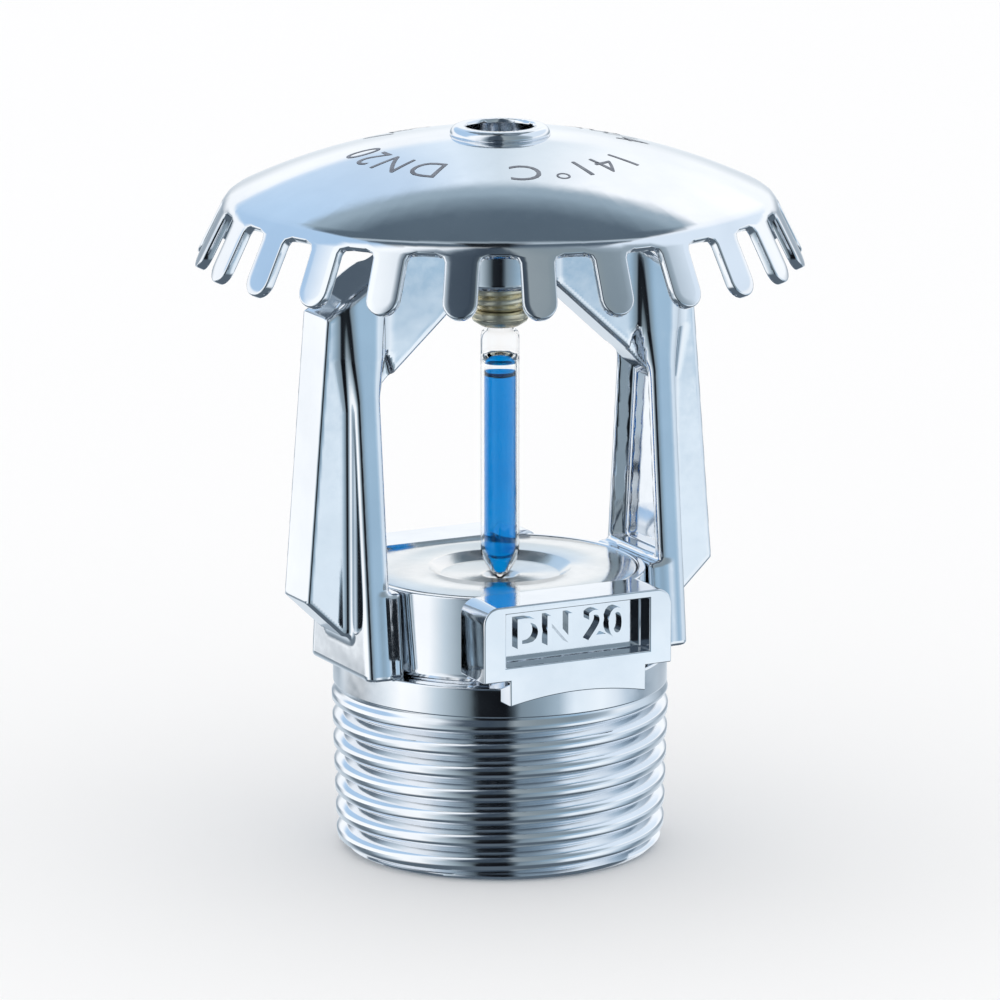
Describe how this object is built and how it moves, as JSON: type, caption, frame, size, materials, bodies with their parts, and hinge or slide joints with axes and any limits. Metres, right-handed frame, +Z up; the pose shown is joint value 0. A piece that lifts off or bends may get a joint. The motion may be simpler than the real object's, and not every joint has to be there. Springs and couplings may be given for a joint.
{
  "type": "fire sprinkler head",
  "caption": "Upright glass-bulb fire sprinkler head: threaded inlet with wrench flats, arms round a blue bulb and its load screw, and a toothed dome deflector",
  "frame": {"origin": "centre of the inlet's end face, at the bottom", "axes": "+Z is up along the waterway to the deflector, the arms stand at -X and +X, the wrench flats face -Y and +Y"},
  "size_m": [0.047, 0.047, 0.0566],
  "materials": {
    "chrome_plate": "bright chrome plate over a smooth casting and over pressed sheet",
    "screw_brass": "turned brass, dull, with fine rings",
    "bulb_glass": "clear drawn glass",
    "blue_liquid": "clear blue liquid",
    "satin_nickel": "satin nickel plate, pressed",
    "spring_steel": "blanked spring steel",
    "ptfe": "white film, slightly waxy"
  },
  "bodies": {
    "body": {"frame": "chrome_plate", "deflector": "chrome_plate"},
    "cup": {"bulb_cup": "screw_brass"},
    "screw": {"load_screw": "screw_brass"},
    "valve": {"valve_cap": "satin_nickel", "disc_spring": "spring_steel", "ptfe_seal_upper": "ptfe", "ptfe_seal_lower": "ptfe"},
    "bulb": {"glass_bulb": "bulb_glass", "bulb_liquid": "blue_liquid"}
  },
  "joints": [
    {"name": "load_screw_travel", "type": "slide", "parent": "body", "child": "cup", "axis": [0, 0, 1], "range_m": [0, 0.00225]},
    {"name": "load_screw_turn", "type": "hinge", "parent": "cup", "child": "screw", "pos_m": [0, 0, 0.0466], "axis": [0, 0, 1], "range_deg": [0, 1080]},
    {"name": "valve_release", "type": "slide", "parent": "body", "child": "valve", "axis": [0, 0, 1], "range_m": [0, 0.008]},
    {"name": "bulb_release", "type": "slide", "parent": "body", "child": "bulb", "axis": [0, -1, 0], "range_m": [0, 0.02], "deforming": ["glass_bulb", "bulb_liquid"]}
  ],
  "couplings": [
    {"joint": "load_screw_turn", "follows": "load_screw_travel", "rad_per_m": 8377.6},
    {"joint": "bulb_release", "follows": "valve_release", "ratio": 2.5}
  ]
}
